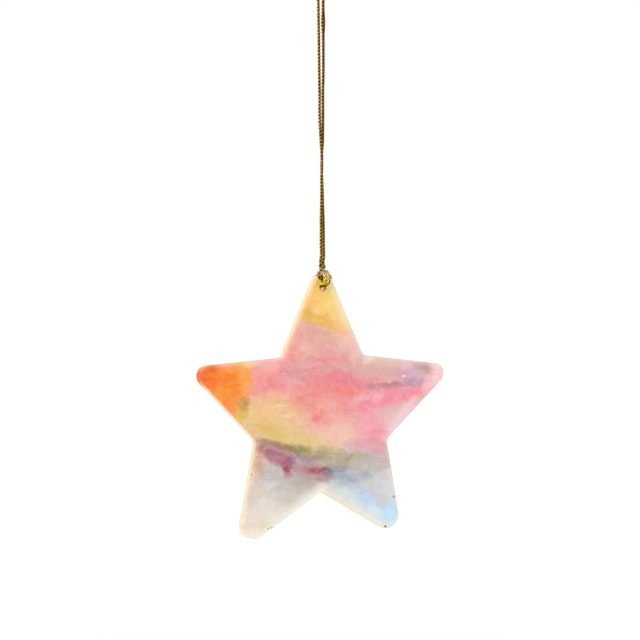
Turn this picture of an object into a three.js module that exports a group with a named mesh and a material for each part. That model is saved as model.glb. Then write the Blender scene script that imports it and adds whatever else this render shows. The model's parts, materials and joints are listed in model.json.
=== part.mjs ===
// A flat five-pointed star ornament sawn from a slab of dyed nacre, hung on one loop of twisted metallic thread.
// Millimetres, +Z up. The origin is the hang point: the inside of the loop's bend, where a hook or a nail goes.
// The plate stands in the XZ plane, and its front face looks towards -Y.

import * as THREE from 'three';

// The star plate. The five points and five notches are regular apart from what the saw did, given below.
const pointReach = 44.6;        // from the star's centre to the sharp corner of a point, before rounding
const notchReach = 21.3;        // from the star's centre to the sharp corner of a notch, before rounding
const pointRounding = 3.1;      // radius worn on a point
const notchRounding = 2.1;      // radius left in a notch
const plateThickness = 3.6;
const arris = 0.35;             // how far the long edges of both faces are softened
const holeDiameter = 1.8;
const holeInset = 3.95;         // from the rounded end of the top point down to the hole's centre
const holeAside = -0.4;         // how far the hole was drilled off the top point's middle line

// How each corner departs from the regular star, clockwise from the top point:
// farther out, turned anticlockwise in degrees, and a larger rounding.
const sawnCorners = [
  { name: 'top point', out: -0.5, turn: 0.0, rounder: -0.4 },
  { name: 'upper right notch', out: 0.2, turn: 0.0, rounder: 0.9 },
  { name: 'right point', out: 0.7, turn: 0.3, rounder: -0.2 },
  { name: 'lower right notch', out: 0.2, turn: -0.2, rounder: 0.0 },
  { name: 'right foot', out: -0.6, turn: -0.1, rounder: 0.8 },
  { name: 'notch between the feet', out: -0.4, turn: -1.9, rounder: -0.6 },
  { name: 'left foot', out: 1.1, turn: 0.3, rounder: 0.4 },
  { name: 'lower left notch', out: 0.2, turn: -0.6, rounder: 0.7 },
  { name: 'left point', out: -0.5, turn: -1.0, rounder: -0.1 },
  { name: 'upper left notch', out: -0.4, turn: 0.4, rounder: -0.9 },
];

// The thread, three plies laid up to one diameter, and the gaps kept round it.
const threadDiameter = 0.7;
const clearance = 0.3;          // between pieces that touch
const hingeGap = 0.5;           // between two stretches of thread that bend at their cut
const bendRadius = 1.75;        // of the thread's middle line over the hook

// Heights of the cuts where the loop swings, sways and twists.
const swingHeight = -16;
const swayHeight = -30;
const twistHeight = -54;

// The knot: turns of the left leg's end round the right leg's end, in front of the top point. They go down at the
// front and up at the back, and run from right to left along a level middle line.
const knotTurns = 29 / 16;
const wrapSpacing = 0.32;       // free space between two neighbouring turns
const wrapDepth = 1.08;         // from the knot's middle line to the front and the back of a turn
const wrapHeight = 1.36;        // from the knot's middle line to the top and the bottom of a turn
const knotAside = 0.42;         // from the hole's centre across to where the first turn starts
const knotLift = 2.44;          // from the hole's centre up to the knot's middle line
const legFootLift = 6.94;       // from the hole's centre up to the foot of the loop's legs

// Facets.
const cornerSegments = 8;       // each rounded corner of the plate's outline
const arrisSegments = 2;
const holeSegments = 18;
const threadSides = 8;
const turnSteps = 16;           // each turn of the knot
const knotEndSteps = 18;        // the knot's lead-in and tail
const eyeSteps = 56;
const crownSteps = 18;
const bendPoints = 8;           // route points round the loop's bend
const routeSamples = 1200;      // lengths measured along a route
const searchSteps = 40;         // halvings that find a height on a route
const gapSamples = 200;         // points that the least gap is measured on

// The route of the loop's two legs, from the foot above the knot up to the bend: across, depth, height.
const leftLeg = [
  [-1.00, -1.45, -88.8], [-0.70, -1.43, -86.6], [-0.74, -1.38, -83.2], [-0.72, -1.38, -79.8],
  [-0.72, -1.34, -76.4], [-0.64, -1.42, -73.0], [-0.60, -1.42, -68.0], [-0.56, -1.42, -64.6],
  [-0.44, -1.42, -61.2], [-0.48, -1.35, -58.0], [-0.66, -1.12, -54.5], [-0.80, -0.94, -51.0],
  [-0.82, -0.69, -46.0], [-0.78, -0.62, -41.0], [-0.84, -0.54, -36.0], [-0.86, -0.46, -30.8],
  [-0.88, -0.39, -26.0], [-0.95, -0.31, -20.7], [-0.97, -0.23, -15.6], [-1.08, -0.16, -11.0],
  [-1.36, -0.10, -7.0], [-1.66, -0.04, -4.0],
];
const rightLeg = [
  [0.10, -1.10, -88.8], [0.30, -1.17, -86.6], [0.24, -1.12, -83.2], [0.27, -1.03, -79.8],
  [0.23, -0.97, -76.4], [0.18, -0.76, -73.0], [0.13, -0.60, -68.0], [0.02, -0.47, -64.6],
  [-0.01, -0.42, -61.2], [0.08, -0.40, -58.0], [0.27, -0.52, -54.5], [0.28, -0.59, -51.0],
  [0.28, -0.66, -46.0], [0.28, -0.62, -41.0], [0.44, -0.54, -36.0], [0.52, -0.46, -30.8],
  [0.53, -0.39, -26.0], [0.55, -0.31, -20.7], [0.57, -0.23, -15.6], [0.80, -0.16, -11.0],
  [1.24, -0.10, -7.0], [1.60, -0.04, -4.0],
];

// Sizes that follow from those above.
const threadRadius = threadDiameter / 2;
const wrapPitch = threadDiameter + wrapSpacing;
const holeRadius = holeDiameter / 2;
const legFoot = leftLeg[0][2];
const holeHeight = legFoot - legFootLift;
const faceRest = plateThickness / 2 + clearance + threadRadius;     // thread lying on a face, from the mid-plane
const holeRest = holeRadius - clearance - threadRadius;             // thread in the top of the hole
const tipRest = holeInset + clearance + threadRadius;               // thread over the point's end
const knotDepth = -(faceRest + wrapDepth);

const nacre = new THREE.MeshStandardMaterial({ name: 'dyed_nacre', color: 0xecc0b4, roughness: 0.38, metalness: 0 });
const goldThread = new THREE.MeshStandardMaterial({ name: 'gold_thread', color: 0x9a7420, roughness: 0.4, metalness: 0.8 });

const ornament = new THREE.Group();

function addPiece(name, geometry, material) {
  const mesh = new THREE.Mesh(geometry, material);
  mesh.name = name;
  ornament.add(mesh);
  return mesh;
}

// The star's ten sharp corners about its own centre, each with its rounding.
function starCorners() {
  return sawnCorners.map((corner, i) => {
    const isPoint = i % 2 === 0;
    const bearing = THREE.MathUtils.degToRad(90 - (360 / sawnCorners.length) * i + corner.turn);
    const reach = (isPoint ? pointReach : notchReach) + corner.out;
    return {
      at: new THREE.Vector2(Math.cos(bearing), Math.sin(bearing)).multiplyScalar(reach),
      rounding: (isPoint ? pointRounding : notchRounding) + corner.rounder,
    };
  });
}

// The points of an arc about a centre, from one angle to another, both ends included.
function arcPoints(centre, radius, from, to, segments) {
  return Array.from({ length: segments + 1 }, (_, i) => {
    const angle = THREE.MathUtils.lerp(from, to, i / segments);
    return new THREE.Vector2(radius * Math.cos(angle), radius * Math.sin(angle)).add(centre);
  });
}

// The closed outline: straight sawn edges joined by an arc that touches both edges of each corner.
function starOutline(corners) {
  return corners.flatMap((corner, i) => {
    const before = corners[(i + corners.length - 1) % corners.length].at;
    const after = corners[(i + 1) % corners.length].at;
    const back = before.clone().sub(corner.at).normalize();
    const on = after.clone().sub(corner.at).normalize();
    const half = Math.acos(back.dot(on)) / 2;
    const middle = back.clone().add(on).normalize();
    const centre = middle.clone().multiplyScalar(corner.rounding / Math.sin(half)).add(corner.at);
    const facing = middle.negate().angle();
    const reach = (Math.PI / 2 - half) * Math.sign(back.cross(on));
    return arcPoints(centre, corner.rounding, facing + reach, facing - reach, cornerSegments);
  });
}

// The height of the top point's rounded end above the star's centre.
function topOfPoint(corners) {
  const [top, next] = corners;
  const previous = corners[corners.length - 1];
  const half = next.at.clone().sub(top.at).angleTo(previous.at.clone().sub(top.at)) / 2;
  return top.at.y - top.rounding * (1 / Math.sin(half) - 1);
}

function buildStarPlate() {
  const corners = starCorners();
  const shape = new THREE.Shape(starOutline(corners));
  const holeUp = topOfPoint(corners) - holeInset;
  const holeCentre = new THREE.Vector2(holeAside, holeUp);
  const rim = arcPoints(holeCentre, holeRadius, 0, 2 * Math.PI, holeSegments).slice(1);
  shape.holes.push(new THREE.Path(rim));
  const depth = plateThickness - 2 * arris;
  const plate = new THREE.ExtrudeGeometry(shape, {
    depth,
    bevelEnabled: true,
    bevelThickness: arris,
    bevelSize: arris,
    bevelOffset: -arris,
    bevelSegments: arrisSegments,
  });
  plate.translate(0, 0, -depth / 2);
  plate.rotateX(Math.PI / 2);
  addPiece('star_plate', plate, nacre).position.z = holeHeight - holeUp;
}

// The part of a path between two shares of its length.
class Stretch extends THREE.Curve {
  constructor(path, from, to) {
    super();
    this.path = path;
    this.from = from;
    this.to = to;
  }

  getPoint(t, target = new THREE.Vector3()) {
    return this.path.getPointAt(THREE.MathUtils.lerp(this.from, this.to, t), target);
  }
}

function route(points) {
  const path = new THREE.CatmullRomCurve3(points.map((p) => new THREE.Vector3(...p)), false, 'centripetal');
  path.arcLengthDivisions = routeSamples;
  return path;
}

// A thread of round section along a path, closed at both ends.
function threadAlong(path, steps) {
  const section = new THREE.Shape();
  for (let i = 0; i < threadSides; i += 1) {
    const angle = (2 * Math.PI * i) / threadSides;
    const corner = [threadRadius * Math.cos(angle), threadRadius * Math.sin(angle)];
    if (i === 0) section.moveTo(...corner);
    else section.lineTo(...corner);
  }
  section.closePath();
  return new THREE.ExtrudeGeometry(section, { steps, extrudePath: path, bevelEnabled: false });
}

// The share of a path's length at which it passes a height, between two shares on either side of it.
function shareAt(path, height, below, above) {
  let [low, high] = [below, above];
  for (let i = 0; i < searchSteps; i += 1) {
    const middle = (low + high) / 2;
    if (path.getPointAt(middle).z < height) low = middle;
    else high = middle;
  }
  return (low + high) / 2;
}

// The loop: up the left leg, round the bend over the hook, and down the right leg.
function loopRoute() {
  const bend = [];
  for (let i = 0; i <= bendPoints; i += 1) {
    const angle = Math.PI * (1 - i / bendPoints);
    const height = threadRadius - bendRadius + bendRadius * Math.sin(angle);
    bend.push([bendRadius * Math.cos(angle), 0, height]);
  }
  return route([...leftLeg, ...bend, ...rightLeg.slice().reverse()]);
}

function buildLoop() {
  const loop = loopRoute();
  const top = 0.5;
  const halfGap = hingeGap / 2;
  const left = (height) => shareAt(loop, height, 0, top);
  const right = (height) => shareAt(loop, height, 1, top);
  const crown = new Stretch(loop, left(swingHeight + halfGap), right(swingHeight + halfGap));
  addPiece('loop_crown', threadAlong(crown, crownSteps), goldThread);
  const stretches = [
    { name: 'upper', from: swayHeight + halfGap, to: swingHeight - halfGap, steps: 4 },
    { name: 'middle', from: twistHeight + halfGap, to: swayHeight - halfGap, steps: 8 },
    { name: 'lower', from: legFoot, to: twistHeight - halfGap, steps: 14 },
  ];
  for (const { name, from, to, steps } of stretches) {
    const onLeft = new Stretch(loop, from === legFoot ? 0 : left(from), left(to));
    const onRight = new Stretch(loop, from === legFoot ? 1 : right(from), right(to));
    addPiece(`loop_${name}_left`, threadAlong(onLeft, steps), goldThread);
    addPiece(`loop_${name}_right`, threadAlong(onRight, steps), goldThread);
  }
}

// Points given from the hole's centre: across, the depth from the mid-plane, and up.
const fromHole = ([across, depth, up]) => [holeAside + across, depth, holeHeight + up];

// The left leg's end: behind the right leg's end to the right, two open turns, and a short cut tail at the left.
function buildKnot() {
  const leadIn = [
    [-0.60, -1.45, 6.54], [-0.60, -1.44, 6.19], [-0.53, -1.42, 5.60],
    [-0.24, -1.52, 4.98], [0.22, -2.10, 4.52], [0.42, -2.92, 4.13],
  ];
  const turns = [];
  for (let i = 1; i <= knotTurns * turnSteps; i += 1) {
    const turned = i / turnSteps;
    const angle = 2 * Math.PI * turned;
    const across = knotAside - wrapPitch * turned;
    turns.push([across, knotDepth - wrapDepth * Math.sin(angle), knotLift + wrapHeight * Math.cos(angle)]);
  }
  const tail = [[-1.62, -faceRest, 3.45], [-1.98, -faceRest, 3.85]];
  const path = route([...leadIn, ...turns, ...tail].map(fromHole));
  addPiece('knot_wraps', threadAlong(path, knotTurns * turnSteps + knotEndSteps), goldThread);
  const apart = leastGap(path, wrapPitch * 2);
  console.log(`least gap between the knot's turns: ${apart.toFixed(2)} mm`);
}

// The least free space between parts of a thread that are farther apart than a length along it.
function leastGap(path, alongBy) {
  const points = path.getSpacedPoints(gapSamples);
  const step = path.getLength() / gapSamples;
  let least = Infinity;
  for (let i = 0; i < points.length; i += 1) {
    for (let j = i + Math.ceil(alongBy / step); j < points.length; j += 1) {
      least = Math.min(least, points[i].distanceTo(points[j]));
    }
  }
  return least - threadDiameter;
}

// The right leg's end: in front of the left leg's end to the left, through the knot's turns, into the hole from its
// front, up the back, over the point's right shoulder, and down the front to a short cut tail.
function buildHoleEye() {
  const acrossTheLegs = [
    [0.50, -1.10, 6.50], [0.49, -1.20, 6.18], [0.28, -1.97, 5.80], [-0.25, -2.87, 5.60],
    [-0.95, -3.40, 5.22], [-1.60, -3.58, 4.60], [-1.98, -3.60, 3.80], [-1.98, -3.58, 3.00],
  ];
  const throughTheKnot = [
    [-1.62, knotDepth, knotLift + 0.08], [-0.95, knotDepth, knotLift],
    [-0.25, knotDepth, knotLift], [0.42, knotDepth, knotLift - 0.02],
  ];
  const intoTheHole = [
    [0.92, -3.42, 2.32], [1.26, -3.15, 1.86], [1.24, -2.80, 1.30], [0.90, -2.50, 0.86],
    [0.34, -2.15, 0.42], [0.06, -1.60, holeRest], [0, 0, holeRest], [0, 1.60, holeRest],
  ];
  const upTheBack = [
    [0.02, faceRest - 0.15, 0.64], [0.15, faceRest + 0.05, 1.34],
    [0.45, faceRest + 0.05, 2.54], [0.75, faceRest + 0.05, 3.64],
  ];
  const overTheTip = [
    [0.88, faceRest - 0.22, 4.38], [0.98, faceRest - 1.0, tipRest + 0.06], [1.10, 0, tipRest + 0.06],
    [1.28, -faceRest + 0.95, tipRest - 0.04], [1.42, -faceRest + 0.15, tipRest - 0.38],
  ];
  const tail = [
    [1.55, -faceRest - 0.05, tipRest - 1.0], [1.80, -faceRest - 0.05, 2.99], [1.90, -faceRest - 0.1, 2.49],
  ];
  const points = [...acrossTheLegs, ...throughTheKnot, ...intoTheHole, ...upTheBack, ...overTheTip, ...tail];
  addPiece('hole_eye', threadAlong(route(points.map(fromHole)), eyeSteps), goldThread);
}

buildStarPlate();
buildLoop();
buildKnot();
buildHoleEye();

export default ornament;
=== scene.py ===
import json
from math import atan2, cos, hypot, pi, radians, sin, sqrt

import bpy
import numpy as np
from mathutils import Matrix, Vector, geometry, noise
from numpy.linalg import norm


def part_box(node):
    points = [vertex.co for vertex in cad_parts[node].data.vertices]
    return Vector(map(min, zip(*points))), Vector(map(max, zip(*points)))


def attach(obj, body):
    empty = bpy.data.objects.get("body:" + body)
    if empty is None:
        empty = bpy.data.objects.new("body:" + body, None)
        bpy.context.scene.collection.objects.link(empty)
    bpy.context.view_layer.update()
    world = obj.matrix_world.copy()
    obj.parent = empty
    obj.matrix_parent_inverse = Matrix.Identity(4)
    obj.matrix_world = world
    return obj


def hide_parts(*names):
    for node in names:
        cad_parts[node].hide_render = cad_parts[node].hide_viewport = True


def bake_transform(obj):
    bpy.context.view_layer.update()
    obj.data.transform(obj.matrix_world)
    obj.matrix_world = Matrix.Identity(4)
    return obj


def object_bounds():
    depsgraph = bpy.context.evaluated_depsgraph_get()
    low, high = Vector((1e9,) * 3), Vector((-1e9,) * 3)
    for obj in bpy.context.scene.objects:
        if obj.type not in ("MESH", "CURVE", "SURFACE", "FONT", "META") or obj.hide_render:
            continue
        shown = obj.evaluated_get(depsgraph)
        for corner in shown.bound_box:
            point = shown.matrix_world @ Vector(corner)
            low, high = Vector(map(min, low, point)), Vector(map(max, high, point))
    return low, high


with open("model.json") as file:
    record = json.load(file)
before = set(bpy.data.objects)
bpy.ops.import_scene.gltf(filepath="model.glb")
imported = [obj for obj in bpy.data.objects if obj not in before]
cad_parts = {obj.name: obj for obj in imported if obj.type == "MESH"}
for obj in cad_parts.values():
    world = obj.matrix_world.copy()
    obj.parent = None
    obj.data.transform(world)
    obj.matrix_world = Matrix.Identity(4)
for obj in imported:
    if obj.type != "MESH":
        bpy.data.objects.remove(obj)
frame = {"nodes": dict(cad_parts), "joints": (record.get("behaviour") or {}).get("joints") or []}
cad_low, cad_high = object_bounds()

MM = 0.001
scene = bpy.context.scene

# Places taken from the frame.
JOINTS = {joint["name"]: Vector(joint["pos_m"]) for joint in frame["joints"]}
HOLE = JOINTS["star_rock"]
PLATE_LOW, PLATE_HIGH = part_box("star_plate")
STAR_TOP = 40.38 * MM  # from the star's centre to its top point's end
STAR_CENTRE = Vector((0, 0, PLATE_HIGH.z - STAR_TOP))


# Camera

VIEW_AZIMUTH = radians(-28)  # the camera stands left of the star's front
EYE_DISTANCE = 620 * MM
EYE_HEIGHT = -104.86 * MM
EYE_ASIDE = -0.28 * MM
LENS = 123.9  # on a sensor 36 mm wide

ahead = Vector((-sin(VIEW_AZIMUTH), cos(VIEW_AZIMUTH), 0))
to_the_right = Vector((ahead.y, -ahead.x, 0))


def add_object(name, data):
    added = bpy.data.objects.new(name, data)
    scene.collection.objects.link(added)
    return added


def make_camera():
    data = bpy.data.cameras.new("camera")
    data.lens = LENS
    data.sensor_width = 36
    data.clip_start = 0.01
    data.clip_end = 20
    camera = add_object("camera", data)
    camera.location = Vector((0, 0, EYE_HEIGHT)) - ahead * EYE_DISTANCE + to_the_right * EYE_ASIDE
    camera.rotation_euler = (pi / 2, 0, VIEW_AZIMUTH)
    scene.camera = camera


make_camera()


# Shader helpers

def linear(colour):
    """A written colour such as 0xf0c080 as linear values with alpha."""
    shares = [(colour >> shift & 255) / 255 for shift in (16, 8, 0)]
    return [c / 12.92 if c <= 0.04045 else ((c + 0.055) / 1.055) ** 2.4 for c in shares] + [1.0]


class Shading:
    """Adds nodes and joins them: an input is a number, a colour, a vector or another node's socket."""

    def __init__(self, node_tree):
        self.node_tree = node_tree
        node_tree.nodes.clear()

    def node(self, kind, inputs=(), output=0, **settings):
        node = self.node_tree.nodes.new("ShaderNode" + kind)
        for key, value in settings.items():
            setattr(node, key, value)
        for key, value in dict(inputs).items():
            self.put(value, node.inputs[key])
        return node.outputs[output] if node.outputs else node

    def put(self, value, socket):
        if isinstance(value, bpy.types.NodeSocket):
            self.node_tree.links.new(value, socket)
        else:
            socket.default_value = value

    def math(self, operation, *values, clamp=False):
        return self.node("Math", enumerate(values), operation=operation, use_clamp=clamp)

    def vector(self, operation, *values, output=0):
        return self.node("VectorMath", enumerate(values), output, operation=operation)

    def length(self, vector):
        return self.vector("LENGTH", vector, output="Value")

    def apart(self, value, other):
        return self.math("ABSOLUTE", self.math("SUBTRACT", value, other))

    def ramp(self, value, low, high, to_low=0.0, to_high=1.0):
        """Goes smoothly from to_low to to_high while the value goes from low to high."""
        inputs = {"Value": value, "From Min": low, "From Max": high, "To Min": to_low, "To Max": to_high}
        return self.node("MapRange", inputs, interpolation_type="SMOOTHSTEP")

    def mix(self, share, under, over, blend="MIX"):
        inputs = {"Factor": share, 6: under, 7: over}
        return self.node("Mix", inputs, 2, data_type="RGBA", blend_type=blend)

    def noise(self, place, scale, detail=2.0, roughness=0.5, output=0):
        inputs = {"Vector": place, "Scale": scale, "Detail": detail, "Roughness": roughness}
        return self.node("TexNoise", inputs, output)

    def gamma(self, colour, power):
        return self.node("Gamma", {"Color": colour, "Gamma": power})

    def bump(self, height, distance, strength):
        return self.node("Bump", {"Height": height, "Distance": distance, "Strength": strength})

    def point_value(self, name):
        """A value that the mesh carries at its points."""
        return self.node("Attribute", attribute_name=name, output="Fac")


def new_material(name):
    material = bpy.data.materials.new(name)
    material.use_nodes = True
    return material, Shading(material.node_tree)


def finish_material(tree, **inputs):
    shader = tree.node("BsdfPrincipled", {key.replace("_", " "): value for key, value in inputs.items()})
    tree.node("OutputMaterial", {"Surface": shader})


# Light and floor

SKY = 0.55  # light from all round
FLOOR_DROP = 85 * MM  # from the star's lowest point
FLOOR_SIZE = 6.0
FLOOR_FADE = (0.3, 0.75)  # from the floor's middle out to where it is as white as the backdrop
FLOOR_GLOW = (0.2, 0.7)
FLOOR_COLOURS = (0xf2f2f2, 0xf6f6f6)
LAMPS = [
    # name, azimuth and elevation in degrees, distance, width, watts
    ("key_lamp", -62, 34, 0.85, 0.55, 3.9),
    ("fill_lamp", 42, 18, 0.95, 0.7, 1.4),
]


def seen_directly(tree):
    """1 for a ray from the eye, off gloss or through glass, and 0 for light that falls on things."""
    path = tree.node("LightPath")
    rays = path.node.outputs
    seen = tree.math("MAXIMUM", rays["Is Camera Ray"], rays["Is Glossy Ray"])
    return tree.math("MAXIMUM", seen, rays["Is Transmission Ray"])


def make_world():
    world = bpy.data.worlds.new("studio")
    world.use_nodes = True
    scene.world = world
    tree = Shading(world.node_tree)
    strength = tree.ramp(seen_directly(tree), 0.0, 1.0, SKY, 1.0)
    background = tree.node("Background", {"Color": (1, 1, 1, 1), "Strength": strength})
    tree.node("OutputWorld", {"Surface": background})


def make_floor():
    material, tree = new_material("pale_floor")
    grain = tree.noise(tree.node("TexCoord", output=3), 3.0)
    colour = tree.mix(tree.ramp(grain, 0.3, 0.7), *map(linear, FLOOR_COLOURS))
    matt = tree.node("BsdfDiffuse", {"Color": colour})
    away = tree.length(tree.node("TexCoord", output=3))
    lift = tree.ramp(away, *FLOOR_FADE, *FLOOR_GLOW)
    glow = tree.node("Emission", {"Strength": tree.math("MULTIPLY", seen_directly(tree), lift)})
    tree.node("OutputMaterial", {"Surface": tree.node("AddShader", {0: matt, 1: glow})})
    half = FLOOR_SIZE / 2
    height = cad_low.z - FLOOR_DROP
    corners = [(-half, -half, height), (half, -half, height), (half, half, height), (-half, half, height)]
    mesh = bpy.data.meshes.new("floor")
    mesh.from_pydata(corners, [], [(0, 1, 2, 3)])
    mesh.materials.append(material)
    add_object("floor", mesh)


def make_lamps():
    for name, azimuth, elevation, distance, width, watts in LAMPS:
        turn, lift = radians(azimuth), radians(elevation)
        towards = Vector((sin(turn) * cos(lift), -cos(turn) * cos(lift), sin(lift)))
        data = bpy.data.lights.new(name, "AREA")
        data.size = width
        data.energy = watts
        lamp = add_object(name, data)
        lamp.location = STAR_CENTRE + towards * distance
        lamp.rotation_euler = (-towards).to_track_quat("-Z", "Y").to_euler()


scene.view_settings.view_transform = "Standard"
make_world()
make_floor()
make_lamps()


# The thread's route, in millimetres

THREAD = 0.7  # diameter
HALF_THREAD = THREAD / 2
BEND_RADIUS = 1.75
BEND_POINTS = 8
LEFT_LEG = [
    (-1, -1.45, -88.8), (-0.7, -1.43, -86.6), (-0.74, -1.38, -83.2), (-0.72, -1.38, -79.8),
    (-0.72, -1.34, -76.4), (-0.64, -1.42, -73), (-0.6, -1.42, -68), (-0.56, -1.42, -64.6),
    (-0.44, -1.42, -61.2), (-0.48, -1.35, -58), (-0.66, -1.12, -54.5), (-0.8, -0.94, -51),
    (-0.82, -0.69, -46), (-0.78, -0.62, -41), (-0.84, -0.54, -36), (-0.86, -0.46, -30.8),
    (-0.88, -0.39, -26), (-0.95, -0.31, -20.7), (-0.97, -0.23, -15.6), (-1.08, -0.16, -11),
    (-1.36, -0.1, -7), (-1.66, -0.04, -4),
]
RIGHT_LEG = [
    (0.1, -1.1, -88.8), (0.3, -1.17, -86.6), (0.24, -1.12, -83.2), (0.27, -1.03, -79.8),
    (0.23, -0.97, -76.4), (0.18, -0.76, -73), (0.13, -0.6, -68), (0.02, -0.47, -64.6),
    (-0.01, -0.42, -61.2), (0.08, -0.4, -58), (0.27, -0.52, -54.5), (0.28, -0.59, -51),
    (0.28, -0.66, -46), (0.28, -0.62, -41), (0.44, -0.54, -36), (0.52, -0.46, -30.8),
    (0.53, -0.39, -26), (0.55, -0.31, -20.7), (0.57, -0.23, -15.6), (0.8, -0.16, -11),
    (1.24, -0.1, -7), (1.6, -0.04, -4),
]

# The knot in front of the point and the eye through the plate.
WRAP_PITCH = 1.02
WRAP_DEPTH = 1.08
WRAP_HEIGHT = 1.36
WRAP_STEPS = 16
WRAP_POINTS = 29
KNOT_ASIDE = 0.42  # from the hole's centre
KNOT_LIFT = 2.44
FACE_REST = 2.45  # thread on a face, from the plate's middle
HOLE_REST = 0.42  # thread in the top of the hole
TIP_REST = 4.6  # thread over the point's end
KNOT_DEPTH = -FACE_REST - WRAP_DEPTH
HOLE_CENTRE = np.array([HOLE.x / MM, 0, HOLE.z / MM])


def unit(vectors):
    return vectors / norm(vectors, axis=-1, keepdims=True)


def lengths_along(line):
    """How far along a line each of its points is."""
    return np.concatenate([[0], np.cumsum(norm(np.diff(line, axis=0), axis=1))])


def smooth_route(points, step=0.08):
    """Points a step apart along a smooth curve through the given ones."""
    given = np.array(points, float)
    ends = 2 * given[[0, -1]] - given[[1, -2]]
    given = np.vstack([ends[:1], given, ends[1:]])
    shares = np.linspace(0, 1, 40, endpoint=False)[:, None]
    curve = []
    for a, b, c, d in zip(given, given[1:], given[2:], given[3:]):
        ab, bc, cd = (norm(q - p) ** 0.5 for p, q in ((a, b), (b, c), (c, d)))
        into = ((b - a) / ab - (c - a) / (ab + bc) + (c - b) / bc) * bc
        out = ((c - b) / bc - (d - b) / (bc + cd) + (d - c) / cd) * bc
        cubic, square = 2 * (b - c) + into + out, 3 * (c - b) - 2 * into - out
        curve.append(b + into * shares + square * shares ** 2 + cubic * shares ** 3)
    curve = np.vstack(curve + [given[-2:-1]])
    along = lengths_along(curve)
    at = np.linspace(0, along[-1], round(along[-1] / step) + 1)
    return np.stack([np.interp(at, along, curve[:, k]) for k in range(3)], axis=1)


def loop_route():
    bend = []
    for i in range(BEND_POINTS + 1):
        angle = pi * (1 - i / BEND_POINTS)
        height = HALF_THREAD - BEND_RADIUS + BEND_RADIUS * sin(angle)
        bend.append((BEND_RADIUS * cos(angle), 0, height))
    return smooth_route(LEFT_LEG + bend + RIGHT_LEG[::-1])


def knot_route():
    lead_in = [
        (-0.6, -1.45, 6.94), (-0.6, -1.45, 6.54), (-0.6, -1.44, 6.19), (-0.53, -1.42, 5.6),
        (-0.24, -1.52, 4.98), (0.22, -2.1, 4.52), (0.42, -2.92, 4.13),
    ]
    turns = []
    for i in range(1, WRAP_POINTS + 1):
        turned = i / WRAP_STEPS
        angle = 2 * pi * turned
        turns.append((KNOT_ASIDE - WRAP_PITCH * turned, KNOT_DEPTH - WRAP_DEPTH * sin(angle),
                      KNOT_LIFT + WRAP_HEIGHT * cos(angle)))
    tail = [(-1.62, -FACE_REST, 3.45), (-1.98, -FACE_REST, 3.85)]
    return smooth_route(np.array(lead_in + turns + tail) + HOLE_CENTRE)


def eye_route():
    across_the_legs = [
        (0.5, -1.1, 6.94), (0.5, -1.1, 6.5), (0.49, -1.2, 6.18), (0.28, -1.97, 5.8),
        (-0.25, -2.87, 5.6), (-0.95, -3.4, 5.22), (-1.6, -3.58, 4.6), (-1.98, -3.6, 3.8),
        (-1.98, -3.58, 3),
    ]
    through_the_knot = [
        (-1.62, KNOT_DEPTH, KNOT_LIFT + 0.08), (-0.95, KNOT_DEPTH, KNOT_LIFT),
        (-0.25, KNOT_DEPTH, KNOT_LIFT), (0.42, KNOT_DEPTH, KNOT_LIFT - 0.02),
    ]
    into_the_hole = [
        (0.92, -3.42, 2.32), (1.26, -3.15, 1.86), (1.24, -2.8, 1.3), (0.9, -2.5, 0.86),
        (0.34, -2.15, 0.42), (0.06, -1.6, HOLE_REST), (0, 0, HOLE_REST), (0, 1.6, HOLE_REST),
    ]
    up_the_back = [
        (0.02, FACE_REST - 0.15, 0.64), (0.15, FACE_REST + 0.05, 1.34),
        (0.45, FACE_REST + 0.05, 2.54), (0.75, FACE_REST + 0.05, 3.64),
    ]
    over_the_tip = [
        (0.88, FACE_REST - 0.22, 4.38), (0.98, FACE_REST - 1, TIP_REST + 0.06), (1.1, 0, TIP_REST + 0.06),
        (1.28, -FACE_REST + 0.95, TIP_REST - 0.04), (1.42, -FACE_REST + 0.15, TIP_REST - 0.38),
    ]
    tail = [
        (1.55, -FACE_REST - 0.05, TIP_REST - 1), (1.8, -FACE_REST - 0.05, 2.99),
        (1.9, -FACE_REST - 0.1, 2.49),
    ]
    points = across_the_legs + through_the_knot + into_the_hole + up_the_back + over_the_tip + tail
    return smooth_route(np.array(points) + HOLE_CENTRE)


# The thread's plies

PLIES = 3
LAY = 2.85  # one full turn of the plies
PLY_RADIUS = HALF_THREAD / sqrt(PLIES)  # three have the solid thread's section
PLY_SIDES = 9
FOIL_LAY = 0.42  # one turn of the foil round a ply
FOIL_SWELL = 0.1
BAND_PITCH = LAY / PLIES  # from one gold band to the next, with painted shade between
SAME_TURN = 1.5  # how near along the thread it is still the same turn
CONTACT_SHADE_REACH = 0.38  # how far the painted shade of another turn reaches
FRAYED_END = 0.9  # how much looser the plies are there
FIBRE_RADIUS = 0.035
FIBRE_POINTS = 7
FIBRE_SIDES = 5


def turning_frames(line):
    """Unit vectors across a line that turn with it and don't spin about it."""
    tangents = unit(np.gradient(line, axis=0))
    across = np.cross(tangents[0], (0.0, 1.0, 0.1))
    normals = []
    for tangent in tangents:
        across = unit(across - tangent * (across @ tangent))
        normals.append(across)
    normals = np.array(normals)
    return tangents, normals, np.cross(tangents, normals)


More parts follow.
